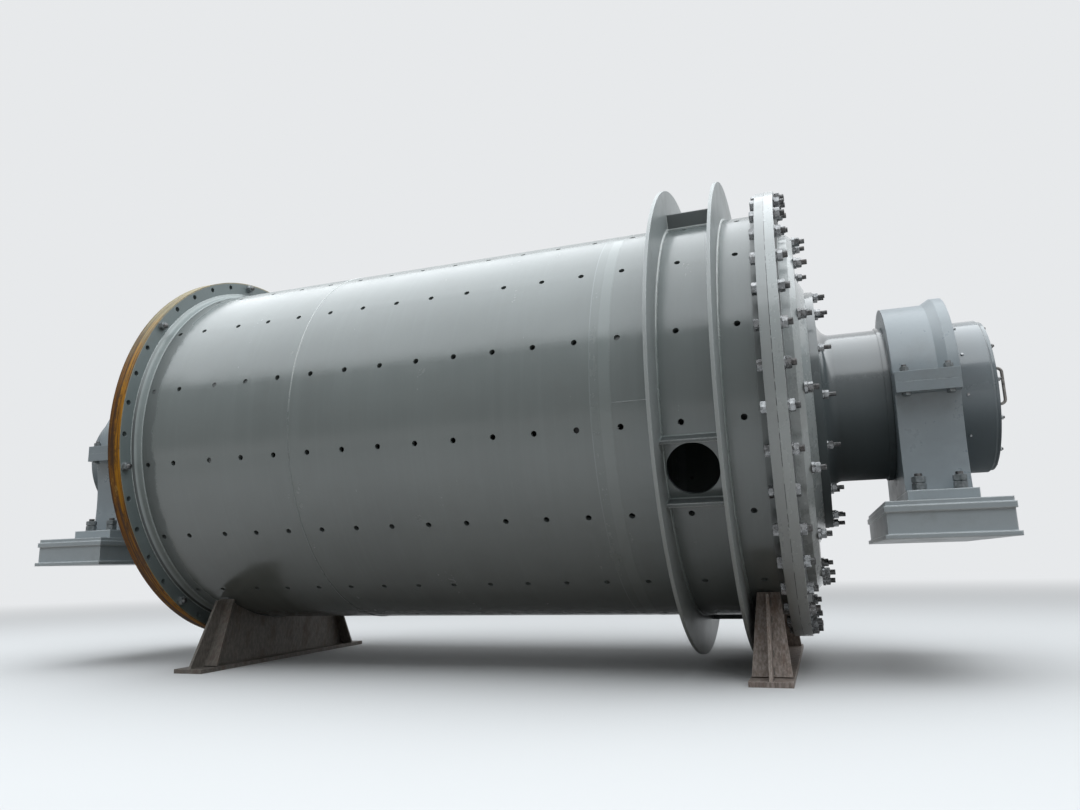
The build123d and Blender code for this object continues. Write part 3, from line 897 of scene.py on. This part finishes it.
def round_bead(x, radius, size, step=0.0055):
    """Bead round the drum, which wanders a little along it."""
    count = int(tau * radius / step)
    turn = np.arange(count) * tau / count
    wander = 0.0006 * np.sin(turn * 37) + 0.0004 * np.sin(turn * 91 + 1)
    return bead(drum_circle(x + wander, radius, count), size, True)


def straight_bead(start, end, size, step=0.0055):
    """Bead from one point to another."""
    start, end = np.array(start), np.array(end)
    count = max(4, int(np.linalg.norm(end - start) / step))
    share = np.linspace(0, 1, count)[:, None]
    return bead(start * (1 - share) + end * share, size, False)


def polar(x, radius, angle, aside=0.0):
    """Point on the drum, moved sideways across the radial line by aside."""
    turn = radians(angle)
    return np.array([x, -radius * cos(turn) + aside * sin(turn),
                     AXIS_HEIGHT + radius * sin(turn) + aside * cos(turn)])


# Welds round the drum: radii of the beads, and how far their middles lie under or over the shell
WELD_SHARP_ANGLE = 60
RING_WELD = 0.0125
SEAM_WELD = 0.006
FLANGE_WELD = 0.009
ROOT_RISE = 0.001
FIRST_SEAM_SINK = 0.0022
SECOND_SEAM_SINK = 0.0052
ring_faces = [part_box(f"discharge_ring_{which}")[side].x for which in ("inner", "outer") for side in (0, 1)]
make("ring_welds", *joined([round_bead(x, SHELL_RADIUS + ROOT_RISE, RING_WELD) for x in ring_faces]),
     highlit_weld_paint, "drum", "shell_paint", WELD_SHARP_ANGLE)
make("first_seam_weld", *round_bead(first_seam, SHELL_RADIUS - FIRST_SEAM_SINK, SEAM_WELD), highlit_seam_paint,
     "drum", "shell_paint", WELD_SHARP_ANGLE)
make("second_seam_weld", *round_bead(second_weld, SHELL_RADIUS - SECOND_SEAM_SINK, SEAM_WELD), shell_paint,
     "drum", "shell_paint", WELD_SHARP_ANGLE)
make("flange_weld", *round_bead(inner_face, SHELL_RADIUS + ROOT_RISE, FLANGE_WELD), flange_paint, "drum",
     "flange_paint", WELD_SHARP_ANGLE)

# The feed collar with its hollow curve, in place of the plain sloped ring of the solids
FILLET = 0.04
FILLET_STEPS = 8
COLLAR_LAND = 0.01
COLLAR_LENGTH = 0.08
COLLAR_CHAMFER = 0.004
COLLAR_STEPS = 240


def collar_profile():
    """(x, radius) points of the collar: a quarter-round fillet, a land and a chamfered end."""
    root_x = feed_face + FILLET
    end_x = feed_face + COLLAR_LENGTH
    land_radius = SHELL_RADIUS + COLLAR_LAND
    seat_radius = SHELL_RADIUS - 0.0005
    profile = [(feed_face, seat_radius)]
    for step in range(FILLET_STEPS + 1):
        turn = radians(90 * step / FILLET_STEPS)
        profile.append((root_x - FILLET * cos(turn), land_radius + FILLET * (1 - sin(turn))))
    return profile + [(end_x - COLLAR_CHAMFER, land_radius), (end_x, land_radius - COLLAR_CHAMFER),
                      (end_x, seat_radius)]


collar = make("feed_collar_band", *turned_ring(collar_profile(), COLLAR_STEPS), collar_paint, "drum",
              "flange_paint")
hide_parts("feed_collar")

# Welds of the cross plates: each plate face has one along the shell and one at each discharge ring
PORT_ANGLE = -21.4
PLATE_OFFSETS = (0.205, 0.231)
PLATE_RISE = 0.1
PLATE_FOOT_RISE = 0.002
FOOT_WELD = 0.007
SIDE_WELD = 0.006
plate_ends = ring_faces[1:3]
plate_welds = []
for angle in [PORT_ANGLE + 90 * index for index in range(4)]:
    for aside in [side * offset for side in (-1, 1) for offset in PLATE_OFFSETS]:
        foot = sqrt(SHELL_RADIUS ** 2 - aside ** 2) + PLATE_FOOT_RISE
        feet = [polar(x, foot, angle, aside) for x in plate_ends]
        tops = [polar(x, SHELL_RADIUS + PLATE_RISE, angle, aside) for x in plate_ends]
        plate_welds.append(straight_bead(*feet, FOOT_WELD))
        plate_welds += [straight_bead(low, high, SIDE_WELD) for low, high in zip(feet, tops)]
make("plate_welds", *joined(plate_welds), highlit_weld_paint, "drum", "shell_paint", WELD_SHARP_ANGLE)

# Long seams of the three courses: (start, end, angle)
SEAM_END_GAP = 0.004
SEAM_RADIUS = SHELL_RADIUS - 0.0045
LONG_SEAMS = ((collar_end, first_seam, 62.0), (first_seam, second_weld, -78.0),
              (second_weld, ring_faces[0], -4.2))
seams = []
for low, high, angle in LONG_SEAMS:
    seams.append(straight_bead(polar(low + SEAM_END_GAP, SEAM_RADIUS, angle),
                               polar(high - SEAM_END_GAP, SEAM_RADIUS, angle), SEAM_WELD))
make("long_seam_welds", *joined(seams), shell_paint, "drum", "shell_paint", WELD_SHARP_ANGLE)

# Liner holes that are plugged: (place along the drum in mm, row of holes, depth of the plug)
FIRST_ROW_ANGLE = 34.85
ROW_STEP = 22.5
PLUG_RADIUS = 0.0208
PLUG_LENGTH = 0.014
PAINTED_PLUGS = ((896, 15, 0.005), (1211.5, 15, 0.012), (257, 15, 0.006), (4366.5, 15, 0.014),
                 (896, 14, 0.012))
DARK_PLUGS = ((4051, 14, 0.02), (4366.5, 7, 0.002))
PLUG_SETS = {"painted_plugs": (PAINTED_PLUGS, plug_steel), "dark_plugs": (DARK_PLUGS, dark_plug)}
for name, (plugs, look) in PLUG_SETS.items():
    places = [outward(along(mm), SHELL_RADIUS - depth - PLUG_LENGTH, FIRST_ROW_ANGLE + ROW_STEP * row)
              for mm, row, depth in plugs]
    make(name, *set_at(washer(PLUG_RADIUS, PLUG_LENGTH, count=24), places), look, "drum", "shell_paint")

# Welds on the cradles: dashes at the roots of the ribs, a bead at the foot of each plate
RIB_FOOT_SIDE = 1.0669
RIB_TOP_SIDE = 0.8219
RIB_TOP_DROP = 1.44
RIB_WELD_GAP = 0.002
DASH_COUNT = 5
DASH_SPAN = (0.18, 0.62)
BASE_WELD_SPAN = (1.07, 1.232)
WEB_WELD_HALF = 1.04


def rib_dashes(x, side, floor_level):
    """Dashes of weld up the sloping root of a rib."""
    top_level = AXIS_HEIGHT - RIB_TOP_DROP
    dashes = []
    for dash in range(DASH_COUNT):
        ends = [(x, side * (RIB_FOOT_SIDE + (RIB_TOP_SIDE - RIB_FOOT_SIDE) * share),
                 floor_level + (top_level - floor_level) * share)
                for share in ((dash + part) / DASH_COUNT for part in DASH_SPAN)]
        dashes.append(straight_bead(*ends, SIDE_WELD))
    return dashes


cradle_welds = []
for end in ENDS:
    low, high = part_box(f"{end}_cradle_ribs")
    floor_level = low.z
    for side in (-1, 1):
        for x in (low.x - RIB_WELD_GAP, high.x + RIB_WELD_GAP):
            cradle_welds += rib_dashes(x, side, floor_level)
            foot_ends = [(x, side * y, floor_level) for y in BASE_WELD_SPAN]
            cradle_welds.append(straight_bead(*foot_ends, SIDE_WELD))
    web_low, web_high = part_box(f"{end}_cradle_web")
    for x in (web_low.x, web_high.x):
        web_ends = [(x, -WEB_WELD_HALF, floor_level), (x, WEB_WELD_HALF, floor_level)]
        cradle_welds.append(straight_bead(*web_ends, FOOT_WELD))
make("cradle_welds", *joined(cradle_welds), dark_cradle, "supports", "cradle_steel", WELD_SHARP_ANGLE)

# Floor, backdrop and light
BACKDROP = (0.8, 0.815, 0.83)
FLOOR_PALE = (0.68, 0.685, 0.69)
FLOOR_BOUNCE = (0.15, 0.126, 0.105)
FLOOR_HALF = 60.0
FLOOR_FADE = (7.0, 26.0)
FILL_COLOUR = (0.97, 1.0, 1.02)
FILL_BY_HEIGHT = (0.28, 0.62)
FILL_BY_END = (0.62, 1.5)
BLACK = (0.0, 0.0, 0.0)
FRONT_TONE = 0.42
BACK_TONE = 0.6
LAMP_COLOUR = (0.945, 0.99, 1.02)


def kinds_of_ray(tree):
    """(seen by the camera, met in metal or glass, either of the two), each 1 or 0."""
    path = node(tree, "ShaderNodeLightPath")
    direct = path.outputs["Is Camera Ray"]
    mirrored = calc(tree, "MAXIMUM", path.outputs["Is Glossy Ray"], path.outputs["Is Transmission Ray"])
    return direct, mirrored, calc(tree, "MAXIMUM", direct, mirrored)


def floor_look():
    """Pale floor that fades to the backdrop's tone far away, and throws less light back at the object."""
    material, tree, shader, place = new_material("floor_look")
    _, _, seen = kinds_of_ray(tree)
    grain = noise(tree, place, 0.6, 4.0)
    seen_tone = blend(tree, grain, tuple(np.array(FLOOR_PALE) * 0.98), FLOOR_PALE)
    tree.links.new(blend(tree, seen, FLOOR_BOUNCE, seen_tone), shader.inputs["Base Color"])
    shader.inputs["Roughness"].default_value = 0.9
    shader.inputs["Specular IOR Level"].default_value = 0.1
    distance = node(tree, "ShaderNodeVectorMath", {0: place}, operation="LENGTH").outputs["Value"]
    far = times(tree, ease(tree, distance, *FLOOR_FADE), seen)
    glow = node(tree, "ShaderNodeEmission", {"Color": (*BACKDROP, 1), "Strength": 1.0})
    mixed = node(tree, "ShaderNodeMixShader", {0: far, 1: shader.outputs[0], 2: glow.outputs[0]})
    tree.links.new(mixed.outputs[0], tree.nodes["Material Output"].inputs["Surface"])
    return material


def studio_floor():
    """Large square at the height of zero."""
    mesh = bpy.data.meshes.new("floor")
    corners = [(-FLOOR_HALF, -FLOOR_HALF, 0), (FLOOR_HALF, -FLOOR_HALF, 0), (FLOOR_HALF, FLOOR_HALF, 0),
               (-FLOOR_HALF, FLOOR_HALF, 0)]
    mesh.from_pydata(corners, [], [(0, 1, 2, 3)])
    mesh.materials.append(floor_look())
    floor = bpy.data.objects.new("floor", mesh)
    bpy.context.scene.collection.objects.link(floor)
    return floor


def studio_world():
    """Backdrop for the camera, a dimmer front and back of it in metal and glass, and a fill light for the
    rest that is stronger from above and from the discharge end."""
    world = bpy.data.worlds.new("studio")
    bpy.context.scene.world = world
    world.use_nodes = True
    tree = world.node_tree
    background = tree.nodes["Background"]
    direct, mirrored, seen = kinds_of_ray(tree)
    ways = node(tree, "ShaderNodeSeparateXYZ", {0: node(tree, "ShaderNodeTexCoord").outputs["Generated"]})
    to_end, to_back, up = ways.outputs[0], ways.outputs[1], ways.outputs[2]
    fill = times(tree, ease(tree, up, -0.1, 0.9, *FILL_BY_HEIGHT),
                 ease(tree, to_end, -0.85, 0.8, *FILL_BY_END))
    fill_tone = blend(tree, fill, BLACK, FILL_COLOUR)
    front = ease(tree, to_back, -0.55, 0.1, FRONT_TONE, 1.0)
    behind = calc(tree, "MAXIMUM", ease(tree, up, 0.1, 0.42, BACK_TONE, 1.0),
                  ease(tree, to_back, -0.35, 0.0, 1.0, 0.0))
    shade = calc(tree, "ADD", times(tree, times(tree, front, behind), mirrored), direct, True)
    seen_tone = blend(tree, shade, BLACK, BACKDROP)
    tree.links.new(blend(tree, seen, fill_tone, seen_tone), background.inputs["Color"])
    background.inputs["Strength"].default_value = 1.0


def softbox(name, place, aim, width, depth, power):
    """Large rectangular lamp that points at the aim."""
    light = bpy.data.lights.new(name, "AREA")
    light.color = LAMP_COLOUR
    light.shape = "RECTANGLE"
    light.size = width
    light.size_y = depth
    light.energy = power
    lamp = bpy.data.objects.new(name, light)
    lamp.location = place
    lamp.rotation_euler = (Vector(aim) - Vector(place)).to_track_quat("-Z", "Y").to_euler()
    bpy.context.scene.collection.objects.link(lamp)


floor = studio_floor()
floor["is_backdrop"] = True
studio_world()
softbox("overhead_softbox", (0, -2.05, 9.0), (0, -2.05, 0), width=22.0, depth=13.1, power=1580)

# Camera at the photograph's viewing angle
CAMERA_PLACE = Vector((2.9355, -6.894, 0.827))
CAMERA_YAW, CAMERA_PITCH, CAMERA_ROLL = radians(-18.983), radians(11.257), radians(-1.473)
FOCAL_PIXELS = 799.7
PHOTO_WIDTH = 1080
SENSOR_WIDTH = 36.0
forward = Vector((sin(CAMERA_YAW) * cos(CAMERA_PITCH), cos(CAMERA_YAW) * cos(CAMERA_PITCH),
                  sin(CAMERA_PITCH)))
level =Vector((cos(CAMERA_YAW), -sin(CAMERA_YAW), 0))
above = level.cross(forward)
right = level * cos(CAMERA_ROLL) + above * sin(CAMERA_ROLL)
upward = above * cos(CAMERA_ROLL) - level * sin(CAMERA_ROLL)
camera_data = bpy.data.cameras.new("camera")
camera_data.sensor_width = SENSOR_WIDTH
camera_data.sensor_fit = "HORIZONTAL"
camera_data.lens = FOCAL_PIXELS / PHOTO_WIDTH * SENSOR_WIDTH
camera_data.clip_start = 0.05
camera_data.clip_end = 500
camera = bpy.data.objects.new("camera", camera_data)
camera_turn = Matrix((right, upward, -forward)).transposed().to_4x4()
camera.matrix_world = Matrix.Translation(CAMERA_PLACE) @ camera_turn
bpy.context.scene.collection.objects.link(camera)
bpy.context.scene.camera = camera
bpy.context.scene.view_settings.view_transform = "Standard"

low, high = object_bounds()
